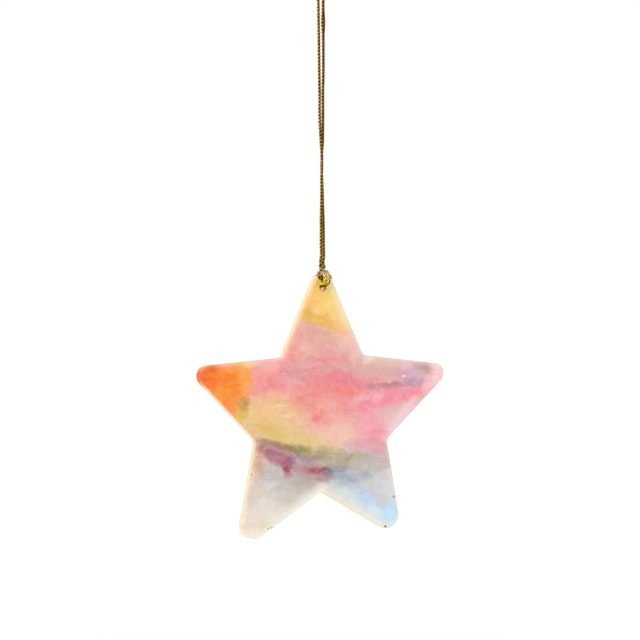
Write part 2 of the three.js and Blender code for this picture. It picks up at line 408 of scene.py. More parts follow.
class Strand:
    """A length of laid thread: its line, the vectors across it, and how loose its plies lie."""

    def __init__(self, line, loosened, frayed=0.0):
        self.line = line
        self.tangents, self.normals, self.sides = turning_frames(line)
        self.along = lengths_along(line)
        where, reach, more = loosened
        self.loose = 1 + more * np.exp(-((self.along - where) / reach) ** 2)
        if frayed:
            left = self.along[-1] - self.along
            self.loose += FRAYED_END * np.clip(1 - left / frayed, 0, 1) ** 2

    def part(self, first, last):
        piece = object.__new__(Strand)
        for name, values in vars(self).items():
            setattr(piece, name, values[first:last + 1])
        return piece

    def ply_rings(self, ply):
        turned = 2 * pi * (self.along / LAY + ply / PLIES)
        out = np.cos(turned)[:, None] * self.normals + np.sin(turned)[:, None] * self.sides
        centres = self.line + out * (2 / sqrt(3) * PLY_RADIUS * self.loose ** 1.6)[:, None]
        tangents = unit(np.gradient(centres, axis=0))
        aside = unit(np.cross(tangents, out))
        out = np.cross(aside, tangents)
        rounds = 2 * pi * np.arange(PLY_SIDES) / PLY_SIDES
        foil = np.sin(2 * pi * self.along[:, None] / FOIL_LAY - rounds + ply)
        radius = PLY_RADIUS * self.loose[:, None] ** 0.35 * (1 + FOIL_SWELL * foil)
        rings = (centres[:, None] + out[:, None] * (radius * np.cos(rounds))[..., None]
                 + aside[:, None] * (radius * np.sin(rounds))[..., None])
        offset = rings - self.line[:, None]
        sideways, upright = ((offset * way[:, None]).sum(axis=2) for way in (self.sides, self.normals))
        band = np.cos(2 * pi * self.along[:, None] / BAND_PITCH - np.arctan2(sideways, upright))
        return rings, centres, np.broadcast_to(np.cos(rounds), radius.shape), band


class Builder:
    """Gathers vertices in millimetres, faces and point values, and makes one object of them."""

    def __init__(self):
        self.points = []
        self.faces = []
        self.values = {}

    def add_points(self, points, **values):
        first = sum(map(len, self.points))
        self.points.append(np.asarray(points, float).reshape(-1, 3))
        for name, value in values.items():
            flat = np.broadcast_to(value, np.shape(points)[:-1]).reshape(-1)
            self.values.setdefault(name, []).append(flat)
        return first

    def add_tube(self, rings, centres, **values):
        """Rings joined side by side, closed by a fan at both ends."""
        count, sides = rings.shape[:2]
        first = self.add_points(rings, **values)
        ends = {name: np.broadcast_to(value, (count, sides))[[0, -1]].mean(axis=1)
                for name, value in values.items()}
        tips = self.add_points(centres[[0, -1]], **ends)
        i = np.arange(count - 1)[:, None] * sides
        j = np.arange(sides)
        k = (j + 1) % sides
        quads = np.stack([i + j, i + k, i + k + sides, i + j + sides], axis=-1) + first
        self.faces += quads.reshape(-1, 4).tolist()
        last = first + (count - 1) * sides
        self.faces += [(tips, first + b, first + a) for a, b in zip(j, k)]
        self.faces += [(tips + 1, last + a, last + b) for a, b in zip(j, k)]

    def make(self, name, material):
        mesh = bpy.data.meshes.new(name)
        mesh.from_pydata((np.vstack(self.points) * MM).tolist(), [], self.faces)
        for key, parts in self.values.items():
            attribute = mesh.attributes.new(key, "FLOAT", "POINT")
            attribute.data.foreach_set("value", np.concatenate(parts).astype(np.float32))
        mesh.materials.append(material)
        mesh.shade_smooth()
        mesh.update()
        return add_object(name, mesh)


# The thread's colours, each from its duller to its brighter places; the gold and brown are brighter at
# painted glints.
GOLD_FOIL = (0xf8d050, 0xfff6a8)
BROWN_CORE = (0xa0640c, 0xf0b43c)
HIGHLIGHT_GOLD = (0xffe830, 0xffe0aa)  # painted highlight: yellow at the hole and peach above it
# brown patches within the painted highlight
HIGHLIGHT_PATCHES = 0xa8641c
HIGHLIGHT_LEVEL = -0.5  # the worn level that gives the full painted highlight
GROOVE_SHADE = (0x7a3c08, 0x301800)  # painted shade in grooves, where turns touch and inside the knot: in highlit thread and elsewhere
GLINT = 0xc08a20
PEACH_HIGHLIGHT_RISE = (1.2 * MM, 3.0 * MM)  # painted highlight above the hole, where the first turns into the second


def thread_material():
    material, tree = new_material("twisted_metallic_thread")
    names = ("along", "ply", "outward", "worn", "band", "crevice")
    along, ply, outward, worn, band, crevice = map(tree.point_value, names)
    place = tree.node("CombineXYZ", {"X": along, "Y": tree.math("MULTIPLY", ply, 7.3), "Z": outward})
    patches = tree.noise(place, 1.1, 3.0)
    glints = tree.noise(place, 5.0, 2.0)
    gold = tree.mix(tree.ramp(glints, 0.35, 0.68), *map(linear, GOLD_FOIL))
    brown = tree.mix(tree.ramp(glints, 0.34, 0.72), *map(linear, BROWN_CORE))
    # Brown where the foil has gone in patches and where worn is above 0: wear, and painted shade inside the
    # knot.
    brown_share = tree.math("ADD", tree.ramp(patches, 0.36, 0.62), worn, clamp=True)
    colour = tree.mix(brown_share, gold, brown)
    height = tree.node("SeparateXYZ", {"Vector": tree.node("TexCoord", output=3)}, "Z")
    peach = tree.ramp(height, *(HOLE.z + rise for rise in PEACH_HIGHLIGHT_RISE), 0.0, 0.9)
    # Painted highlight where worn is below 0: yellow at the hole, peach above it, with brown patches.
    highlit = tree.mix(peach, *map(linear, HIGHLIGHT_GOLD))
    highlit = tree.mix(tree.ramp(patches, 0.53, 0.62, 0.0, 0.8), highlit, linear(HIGHLIGHT_PATCHES))
    beyond_highlight = tree.ramp(worn, HIGHLIGHT_LEVEL, 0.0)
    colour = tree.mix(beyond_highlight, highlit, colour)
    # Painted shade: where turns touch, inside the knot, in the grooves between plies and in bands round the
    # thread.
    painted_shade = tree.math("MAXIMUM", crevice, tree.ramp(worn, 0.6, 0.9, 0.0, 0.85))
    for value, low, high, *shares in ((outward, 0.62, 0.96, 0.3, 0.5), (band, -0.3, 0.3, 0.15, 1.0)):
        groove_shade = tree.ramp(value, low, high, 1.0, 0.0)
        groove_shade = tree.math("MULTIPLY", groove_shade, tree.ramp(beyond_highlight, 0.0, 1.0, *shares))
        painted_shade = tree.math("MAXIMUM", painted_shade, groove_shade)
    colour = tree.mix(painted_shade, colour, tree.mix(beyond_highlight, *map(linear, GROOVE_SHADE)))
    finish_material(tree, Base_Color=colour, Metallic=0.3, Roughness=0.4, Specular_IOR_Level=0.05,
                    Specular_Tint=linear(GLINT), Normal=tree.bump(glints, 0.04 * MM, 0.6))
    return material


THREAD_MATERIAL = thread_material()
random = np.random.default_rng(4)


def add_fibres(builder, strand, index, count, reach, spread, worn):
    """Fine loose fibres that leave the strand at one of its points."""
    rounds = 2 * pi * np.arange(FIBRE_SIDES)[:, None] / FIBRE_SIDES
    for _ in range(count):
        heading = unit(strand.tangents[index] + spread * random.normal(size=3))
        bend = 0.5 * random.normal(size=3)
        length = reach * random.uniform(0.5, 1.0)
        shares = np.linspace(0, 1, FIBRE_POINTS)[:, None]
        start = strand.line[index] + 0.15 * random.normal(size=3)
        centres = start + heading * shares * length + bend * shares ** 2 * length
        _, normals, sides = turning_frames(centres)
        out = normals[:, None] * np.cos(rounds) + sides[:, None] * np.sin(rounds)
        rings = centres[:, None] + FIBRE_RADIUS * (1.15 - shares)[:, None] * out
        builder.add_tube(rings, centres, along=0.0, ply=0.0, outward=1.0, worn=worn, band=1.0, crevice=0.0)


def crevices(rings, strand, other):
    """Painted shade: 1 where a ring point meets another turn or the other line, and 0 away from them."""
    same_turn = np.abs(strand.along[:, None] - strand.along) < SAME_TURN
    gaps = norm(rings[:, :, None] - strand.line, axis=3)
    near = np.where(same_turn[:, None], np.inf, gaps).min(axis=2)
    near = np.minimum(near, norm(rings[:, :, None] - other, axis=3).min(axis=2))
    return np.clip(1 - (near - HALF_THREAD) / CONTACT_SHADE_REACH, 0, 1)


def thread_piece(name, strand, worn, fibres=None, other=None):
    """A piece of thread. worn is above 0 where the foil has gone and where painted shade darkens it, and
    below 0 where painted highlight brightens it.
    """
    builder = Builder()
    for ply in range(PLIES):
        rings, centres, outward, band = strand.ply_rings(ply)
        crevice = 0.0 if other is None else crevices(rings, strand, other)
        builder.add_tube(rings, centres, along=strand.along[:, None], ply=float(ply), outward=outward,
                         worn=np.broadcast_to(worn, len(strand.line))[:, None], band=band, crevice=crevice)
    if fibres:
        add_fibres(builder, strand, *fibres, float(np.mean(worn)))
    piece = builder.make(name, THREAD_MATERIAL)
    return piece


# Where the plies lie loose: along, reach, how much looser.
KNOT_LOOSE = (12.0, 9.0, 0.2)
EYE_LOOSE = (3.0, 3.0, 0.2)

# The cut ends: frayed length, and the fibres' starting point, number, length and spread.
KNOT_FRAY = 1.2
EYE_FRAY = 1.6
KNOT_FIBRES = (-3, 12, 0.8, 0.7)
EYE_FIBRES = (-4, 22, 1.1, 0.7)

# The eye thread's worn along its length: the leg's end, the crossing with painted highlight, painted shade
# inside the knot, and on.
EYE_SHARES = (0.06, 0.1, 0.22, 0.26, 0.33, 0.36, 0.55, 0.65)
EYE_WEAR_AND_LIGHT = (-0.08, -0.15, -0.15, 0.9, 0.9, 0.3, 0.3, -0.35)
HIGHLIGHT_FROM = 1.6  # along the knot's thread, where the painted highlight begins

# The legs get brighter towards the knot, and the right one is darker.
BRIGHTENS = (-84.0, -66.0)
LEG_TOP_LEVEL = -0.08
RIGHT_DARKER = 0.45
SWELLING = (-21.0, 2.6, 0.45)  # the right leg's loose place: height, reach, how loose

# Heights at which the loop's pieces end.
CROWN_FOOT = -23.0
TWIST_TOP = -54.0


def declare_cord(piece, line, nodes):
    """Bakes the piece's place into its mesh and hides the solids that it stands in for."""
    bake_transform(piece)
    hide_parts(*nodes)
    length = float(lengths_along(line)[-1]) * MM


def make_thread():
    knot = Strand(knot_route(), KNOT_LOOSE, KNOT_FRAY)
    eye = Strand(eye_route(), EYE_LOOSE, EYE_FRAY)
    worn = HIGHLIGHT_LEVEL * np.clip(knot.along - HIGHLIGHT_FROM, 0, 1)
    knot_piece = thread_piece("thread_knot", knot, worn, KNOT_FIBRES, eye.line)
    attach(knot_piece, "lower_loop")
    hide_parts("knot_wraps")
    worn = np.interp(eye.along / eye.along[-1], EYE_SHARES, EYE_WEAR_AND_LIGHT)
    eye_piece = thread_piece("thread_eye", eye, worn, EYE_FIBRES, knot.line)
    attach(eye_piece, "lower_loop")
    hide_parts("hole_eye")

    line = loop_route()
    heights = line[:, 2]
    middle = len(line) // 2
    height, *swelling = SWELLING
    swollen = 1 - np.argmin(np.abs(heights[middle:][::-1] - height)) / len(line)
    loop = Strand(line, (lengths_along(line)[-1] * swollen, *swelling))

    def at(height, begin):
        """The number of the point at a height, on the leg that begins with this point."""
        return begin + int(np.argmin(np.abs(heights[begin:begin + middle] - height)))

    crown = loop.part(at(CROWN_FOOT, 0), at(CROWN_FOOT, middle))
    share = np.linspace(0, 1, len(crown.line))
    piece = thread_piece("thread_crown", crown, RIGHT_DARKER * np.clip(3 * share - 1.2, 0, 1))
    declare_cord(piece, crown.line, ["loop_crown"])
    last = len(loop.line) - 1
    for side, begin, foot, worn in (("left", 0, 0, 0.0), ("right", middle, last, RIGHT_DARKER)):
        low, high = at(TWIST_TOP, begin), at(CROWN_FOOT, begin)
        upper = loop.part(min(low, high), max(low, high))
        piece = thread_piece(f"thread_upper_{side}", upper, worn)
        declare_cord(piece, upper.line,
                     [f"loop_upper_{side}", f"loop_middle_{side}"])
        lower = loop.part(min(low, foot), max(low, foot))
        brighter = np.interp(lower.line[:, 2], BRIGHTENS, (LEG_TOP_LEVEL, worn))
        piece = thread_piece(f"thread_lower_{side}", lower, brighter)
        declare_cord(piece, lower.line,
                     [f"loop_lower_{side}"])


make_thread()


# The star plate's mesh

ARRIS = 0.35
ARRIS_STEPS = 4
WALL_STEPS = 7
HOLE_SIDES = 40
HOLE_RADIUS = 0.9
RIM = 0.18
HOLE_GLOW_REACH = 1.2
STRAIGHT_STEP = 0.8  # between points on a straight edge
CORNER_STEPS = 22
GRID_STEP = 1.0
STRAIGHT_LEAST = 5.0  # the ten straight edges are longer
FACE_WAVE = 0.035  # how far the faces wander from flat
EDGE_RINGS = (0.35, 0.9, 1.7)  # rings inside a face's edge
RUBBED_REACH = 3.4  # how far in a fully rubbed edge is pale
UNDERSIDE_GLOW = 0.6
EDGE_PALE = 0.3  # how pale the other edges are at most, at the upper right
LEAST_PALE = 0.12  # share of that at the lower left
FEET_TOP = -14.0  # the feet's pale edges are below this height
RIGHT_FOOT_PALE = 0.75  # share of the left foot's
DYED_POINT = -37.0  # the left point's own edge isn't pale
RUBBED_FADE = 5.0  # over which these begin and end
RIM_CLEAR = 1.6 * HOLE_RADIUS  # other points keep this far from the hole's centre
FACE_FADE = 3.0  # from an edge, over which that begins
SOFTENED = (0.3, 0.12)  # how much an arris varies, and how finely
FILED = (0.02, 0.35)  # the same for the wall's place


def plate_outline():
    """The solid's outline from the front, anticlockwise, in millimetres from the star's centre."""
    mesh = frame["nodes"]["star_plate"].data
    wall = PLATE_HIGH.y - ARRIS * MM
    found = {}
    for vertex in mesh.vertices:
        x, z = vertex.co.x / MM, (vertex.co.z - STAR_CENTRE.z) / MM
        on_wall = abs(abs(vertex.co.y) - wall) < 0.02 * MM
        if on_wall and hypot(x - HOLE_CENTRE[0], vertex.co.z / MM - HOLE_CENTRE[2]) > 2 * HOLE_RADIUS:
            found[(round(x, 3), round(z, 3))] = atan2(z, x)
    return np.array(sorted(found, key=found.get))


def arc_through(points, steps):
    """Points on the circle through the first, middle and last of the given ones."""
    a, b, c = points[0], points[len(points) // 2], points[-1]
    ab, ac = b - a, c - a
    cross = 2 * (ab[0] * ac[1] - ab[1] * ac[0])
    aside = np.array([ac[1], -ac[0]]) * (ab @ ab) + np.array([-ab[1], ab[0]]) * (ac @ ac)
    centre = a + aside / cross
    first, last = (atan2(*(p - centre)[::-1]) for p in (a, c))
    turn = (last - first + pi) % (2 * pi) - pi
    angles = first + turn * np.linspace(0, 1, steps + 1)
    return centre + norm(a - centre) * np.stack([np.cos(angles), np.sin(angles)], axis=1)


def fine_outline():
    """The outline with true arcs at the corners and even steps between them."""
    rough = plate_outline()
    gaps = norm(np.roll(rough, -1, axis=0) - rough, axis=1)
    breaks = np.nonzero(gaps > STRAIGHT_LEAST)[0]
    rough = np.roll(rough, -(breaks[0] + 1), axis=0)
    corners = np.split(rough, (breaks - breaks[0])[1:])
    arcs = [arc_through(corner, CORNER_STEPS) for corner in corners]
    outline = []
    for arc, following in zip(arcs, arcs[1:] + arcs[:1]):
        steps = round(norm(following[0] - arc[-1]) / STRAIGHT_STEP)
        shares = np.linspace(0, 1, steps + 1)[1:-1, None]
        outline += [arc, arc[-1] + (following[0] - arc[-1]) * shares]
    return np.vstack(outline)


def outward_of(outline):
    along = unit(np.roll(outline, -1, axis=0) - np.roll(outline, 1, axis=0))
    return np.stack([along[:, 1], -along[:, 0]], axis=1)


def wander(places, scale, seed):
    """Smooth noise from -1 to 1 at places in the plate's plane."""
    return np.array([noise.noise(Vector((x * scale, z * scale, seed))) for x, z in places])


def edge_profile(rounding, depth):
    """How far in and how deep each ring of an edge lies, from front to back."""
    half = depth / 2
    angles = np.linspace(0, pi / 2, ARRIS_STEPS + 1)
    front = [(rounding * (1 - sin(a)), -half + rounding * (1 - cos(a))) for a in angles]
    wall = np.linspace(-half + rounding, half - rounding, WALL_STEPS + 1)[1:-1]
    back = [(inset, -y) for inset, y in reversed(front)]
    return front + [(0.0, y) for y in wall] + back


def face_mesh(edge, rings, rim):
    """Triangles from a face's edge to the hole's rim, with rings and a grid of points between."""
    centre = rim.mean(axis=0)
    low, high = edge.min(axis=0), edge.max(axis=0)
    across = np.arange(low[0], high[0], GRID_STEP)
    up = np.arange(low[1], high[1], GRID_STEP * sqrt(3) / 2)
    grid = np.array([(x + (j % 2) * GRID_STEP / 2, z) for j, z in enumerate(up) for x in across])
    from_rings = norm(grid[:, None] - rings[-1][None], axis=2).min(axis=1)
    from_rim = norm(grid - centre, axis=1)
    keep = inside(grid, rings[-1]) & (from_rings > GRID_STEP / 2) & (from_rim > RIM_CLEAR)
    ring_points = np.vstack(rings)
    ring_points = ring_points[norm(ring_points - centre, axis=1) > RIM_CLEAR]
    points = np.vstack([edge, rim, ring_points, grid[keep]])
    loops = [(i, (i + 1) % len(edge)) for i in range(len(edge))]
    loops += [(len(edge) + i, len(edge) + (i + 1) % len(rim)) for i in range(len(rim))]
    made, _, faces, origins, _, _ = geometry.delaunay_2d_cdt([Vector(p) for p in points], loops, [], 1, 1e-6)
    place = [origin[0] for origin in origins]
    assert len(made) == len(points)
    kept = []
    for face in faces:
        middle = sum((np.array(made[v]) for v in face), np.zeros(2)) / len(face)
        if norm(middle - centre) > HOLE_RADIUS:
            kept.append([place[v] for v in face])
    return points, kept


def inside(points, outline):
    """Which points lie inside a closed outline."""
    crossings = np.zeros(len(points), int)
    for a, b in zip(outline, np.roll(outline, -1, axis=0)):
        spans = (a[1] > points[:, 1]) != (b[1] > points[:, 1])
        at = a[0] + (points[:, 1] - a[1]) / (b[1] - a[1] if b[1] != a[1] else 1) * (b[0] - a[0])
        crossings += spans & (points[:, 0] < at)
    return crossings % 2 == 1


def rubbed_edge(outline, outward):
    """How much each outline point was rubbed pale: the lower edges of the two feet most of all."""
    feet = np.clip(-1.3 * outward[:, 1], 0, 1) * np.clip((FEET_TOP - outline[:, 1]) / RUBBED_FADE, 0, 1)
    feet *= np.where(outline[:, 0] > 0, RIGHT_FOOT_PALE, 1.0)
    sides = EDGE_PALE * np.clip(0.6 + 0.6 * outward.sum(axis=1), LEAST_PALE, 1)
    sides *= np.clip((outline[:, 0] - DYED_POINT) / RUBBED_FADE, 0, 1)
    return sides + (1 - sides) * feet


def add_wall(builder, loop, push, profile, place, rubbed, lit):
    """A wall of rings round a loop. Returns where its first ring's and last ring's points begin."""
    firsts = []
    for inset, y in profile:
        points = place(loop + push * inset, y)
        firsts.append(builder.add_points(points, rubbed=rubbed, side=1 - inset / profile[0][0], lit=lit(y)))
    i = np.arange(len(loop))
    j = (i + 1) % len(loop)
    for a, b in zip(firsts, firsts[1:]):
        builder.faces += np.stack([a + i, b + i, b + j, a + j], axis=1).tolist()
    return firsts[0], firsts[-1]


def fading(y, reach):
    """1 in the middle of the plate's depth and 0 from reach on."""
    return max(0, 1 - abs(y / reach) ** 3)


def build_star(material):
    outline = fine_outline()
    outward = outward_of(outline)
    depth = (PLATE_HIGH.y - PLATE_LOW.y) / MM
    centre = np.array([HOLE_CENTRE[0], HOLE_CENTRE[2] - STAR_CENTRE.z / MM])
    angles = 2 * pi * np.arange(HOLE_SIDES) / HOLE_SIDES
    spokes = np.stack([np.cos(angles), np.sin(angles)], axis=1)
    softened = 1 + SOFTENED[0] * wander(outline, SOFTENED[1], 3.0)
    filed = FILED[0] * (wander(outline, FILED[1], 9.0) - 1)
    rubbed = rubbed_edge(outline, outward)
    # Painted glow on the walls that face down, strongest in the middle of the depth.
    glow = UNDERSIDE_GLOW * np.clip(-outward[:, 1], 0, 1)
    builder = Builder()

    def place(flat, y):
        return np.stack([flat[:, 0], np.broadcast_to(y, len(flat)), flat[:, 1] + STAR_CENTRE.z / MM], axis=1)

    edge_front, edge_back = add_wall(
        builder, outline + outward * filed[:, None], -outward * softened[:, None], edge_profile(ARRIS, depth),
        place, rubbed, lambda y: glow * fading(y, depth / 2))
    rim_back, rim_front = add_wall(
        builder, centre + spokes * HOLE_RADIUS, spokes, edge_profile(RIM, depth)[::-1], place,
        0.0, lambda y: fading(y, HOLE_GLOW_REACH))
    edge = outline + outward * (filed - ARRIS * softened)[:, None]
    rim = centre + spokes * (HOLE_RADIUS + RIM)
    rings = [edge - outward * inset for inset in EDGE_RINGS]
    points, triangles = face_mesh(edge, rings, rim)
    inner = points[len(edge) + len(rim):]
    apart = norm(inner[:, None] - edge[None], axis=2)
    from_edge = apart.min(axis=1)
    nearest = rubbed[apart.argmin(axis=1)]
    fading_in = 1 - from_edge / np.maximum(RUBBED_REACH * nearest, 1e-6)
    inner_rubbed = nearest * np.clip(fading_in, 0, 1) ** 1.2
    from_rim = norm(inner - centre, axis=1) - HOLE_RADIUS - RIM
    fade = np.clip(np.minimum(from_edge, from_rim) / FACE_FADE, 0, 1)
    faces = ((0.0, -1, edge_front, rim_front), (5.0, 1, edge_back, rim_back))
    for seed, side, edge_first, rim_first in faces:
        wave = FACE_WAVE * (wander(inner, 0.11, seed) + 0.4 * wander(inner, 0.33, seed)) * fade
        level = side * (depth / 2 - FACE_WAVE * fade) + wave
        first = builder.add_points(place(inner, level), rubbed=inner_rubbed, side=0.0, lit=0.0)
        starts = ((edge_first, edge), (rim_first, rim), (first, inner))
        index = [start + i for start, part in starts for i in range(len(part))]
        for triangle in triangles:
            corners = [index[v] for v in triangle]
            builder.faces.append(corners if side < 0 else corners[::-1])
    piece = builder.make("star", material)
    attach(piece, "star")
    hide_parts("star_plate")
    return piece


# The star's dye: washes laid over each other, the lowest first, in millimetres from the star's centre.
# name, across, up, half width, half height, tilt in degrees, colour, strength, and softness if not the usual

UNDER_COLOUR = 0xe9bdb2
SOFTNESS = 0.7
THROUGH = 1000.0  # a wash goes right through the plate
UPPER_ARM = [
    ("dusty pink", 0, 20, 15, 9, 0, 0xebb0a6, 1, 0.5),
    ("brown", 1, 22.5, 4, 2.2, -8, 0xe8b49c, 0.6, 0.8),
    ("pale right", 7.5, 21.5, 3, 2.6, -30, 0xf8ccba, 0.8),
    ("rose", -9.5, 18.5, 2.6, 5, -22, 0xf5a69c, 0.75),
    ("flake", -6.2, 19.8, 2.4, 1.5, -30, 0xf6bfb4, 0.6),
    ("rose foot", 4, 16, 6, 2.4, 4, 0xeeaaa6, 0.6, 0.8),
    ("gold", 1.5, 35.6, 18, 10.1, -15, 0xffd47c, 1, 0.045),
    ("light", 1.4, 34.5, 2.6, 4.5, 20, 0xffda78, 0.85, 0.8),
    ("orange", -4.6, 33.5, 2.6, 5.5, -22, 0xfbbe68, 0.7, 0.8),
    ("amber", -0.5, 27, 9, 1.9, -14, 0xefb858, 0.85, 0.6),
    ("amber edge", -5.6, 29.3, 1.8, 1.5, -20, 0xeaaf4c, 0.7, 0.8),
    ("peach", 6.2, 25.2, 2.8, 1.1, -16, 0xfbc88a, 0.8, 0.6),
    ("gold edge", 4.2, 27.4, 2.2, 1.4, -14, 0xfdd690, 0.6),
    ("pale edge", 4.8, 23.6, 2, 1.2, -14, 0xfcc8a4, 0.6),
    ("left edge", -6.4, 26.6, 2, 1.1, -14, 0xf0bca4, 0.6),
    ("pale edge", 5.2, 32.5, 1.9, 9, 26, 0xfdecc0, 0.85, 0.9),
    # partly painted light: pale yellow cream, painted brighter to lighten the knot's shadow beside the hole
    ("shoulder", 2.9, 36.8, 1.5, 3, 22, 0xfff0a8, 1),
]
LEFT_ARM = [
    ("pink", -16, 11, 11, 8, 0, 0xfba2a0, 1, 0.3),
    ("shoulder", -12, 14.5, 5, 2.6, 10, 0xf7a7a0, 0.7),
    ("paler top", -17, 14.4, 3, 1.3, 6, 0xffbeba, 0.7),
    ("salmon", -15.8, 10.2, 2, 1.8, 20, 0xf08c8c, 0.8),
    ("salmon", -18.4, 8, 1.4, 1.5, 0, 0xf29e94, 0.7, 0.8),
    ("brown rose", -20.8, 6.2, 1.6, 1.6, 0, 0xe89878, 0.6, 0.8),
    ("orange", -36, 9, 13.4, 15, 0, 0xfd9026, 1, 0.035),
    ("side", -24.4, 12, 1.9, 4, 8, 0xffb25a, 0.75),
    ("light", -33.5, 8, 3, 2, -40, 0xfe9c38, 0.6, 0.8),
    ("foot", -27.5, 4.6, 2.6, 2.6, -42, 0xfd9038, 0.8, 0.6),
    ("deep", -29.5, 11.5, 3, 2.2, -20, 0xfb8218, 0.75),
    ("red edge", -34, 13.7, 2.8, 1.2, 6, 0xee5808, 0.85),
    ("pale edge", -28.4, 14, 4.6, 1, 6, 0xffae5c, 0.6),
    ("pink edge", -23.3, 7.7, 1, 1.5, 0, 0xf0a58c, 0.5),
    ("yellow", -23.2, 15.2, 2.2, 0.9, 0, 0xffd08c, 0.7),
    ("tip red", -38.4, 12, 2, 2.8, 0, 0xee5400, 0.9, 0.6),
    ("tip gap", -36, 11, 0.9, 2.2, 10, 0xfa7610, 0.7, 0.8),
    ("tip", -34.8, 10.2, 1.8, 1.6, 0, 0xf86400, 0.7),
]
YELLOW_WASH = [
    ("peach", -12.5, 2.6, 12.5, 4.2, -7, 0xf3bd98, 1, 0.16),
    ("rosy side", -6, 3, 4, 2.6, -20, 0xf3ac96, 0.8),
    ("yellow", -15, -2, 11.5, 5.2, -16, 0xf0ca92, 1, 0.6),
    ("lobe", -19, 2.6, 4.4, 2.2, -4, 0xf8c692, 0.8, 0.6),
    ("left end", -23.8, 0.6, 2, 2.2, -40, 0xf0cc78, 0.65),
    ("deep yellow", -16, -3.6, 7, 2.1, -16, 0xe6c270, 0.85, 0.6),
    ("tongue", -4, -6.3, 9, 2.1, -11, 0xeacc8a, 0.95, 0.5),
    ("stroke", -12.8, 3.4, 2.8, 0.32, 4, 0xfce8b4, 0.6),
    ("stroke", -12.4, 0.8, 2.4, 0.32, -12, 0xf8e0b8, 0.6),
    ("peach end", -5.5, -1.6, 3.6, 2.8, -20, 0xf4bfa6, 0.8, 0.8),
    ("olive spot", -25.3, 3.6, 1.3, 1.7, 20, 0xcca63c, 0.85, 0.6),
    ("olive top", -24.3, 4.6, 1.2, 1.1, 0, 0xbc8a3c, 0.75),
    ("olive foot", -26.6, 0.7, 1.4, 1, -45, 0xdcc458, 0.8, 0.6),
]
MIDDLE = [
    ("rose", 4, 11, 15, 5, -4, 0xf08c92, 0.95, 0.6),
    ("left rose", -6, 10, 5, 4, 0, 0xf09896, 0.7, 0.8),
    ("mauve", -9, 12.4, 4.4, 3.2, 0, 0xd8aaaa, 0.5),
    ("shoulder", -9.6, 8.8, 2.4, 2.2, 0, 0xf0c0b8, 0.5, 0.8),
    ("mauve top", 3.4, 14, 4.6, 1.5, 0, 0xdcb6ae, 0.6),
    ("grey", -6.9, 15.2, 1.8, 1.4, 0, 0xe8bab0, 0.5),
    ("deep rose", 8.5, 10.2, 5, 2.4, -14, 0xee8696, 0.85),
    ("coral", 1, 5.6, 10, 3.6, -4, 0xf5928a, 0.9, 0.6),
    ("red coral", 6.6, 7, 3, 1.5, -10, 0xf9867e, 0.85),
    ("peach", 3, 0.5, 8, 4.6, -10, 0xf8aca4, 0.95, 0.5),
    ("salmon", -0.8, -0.2, 3, 2.2, -35, 0xf69c92, 0.85, 0.6),
    ("left salmon", -4.3, 3, 1.8, 1.4, 0, 0xe48e80, 0.5),
    ("salmon spot", -2.7, -0.4, 1.3, 0.8, -30, 0xee8078, 0.65, 0.8),
    ("lower spot", 1.3, -2.1, 1.3, 0.8, -30, 0xee7874, 0.8, 0.8),
    ("lower peach", 6, -5, 8, 3.6, -8, 0xf8c8b6, 0.95, 0.5),
]
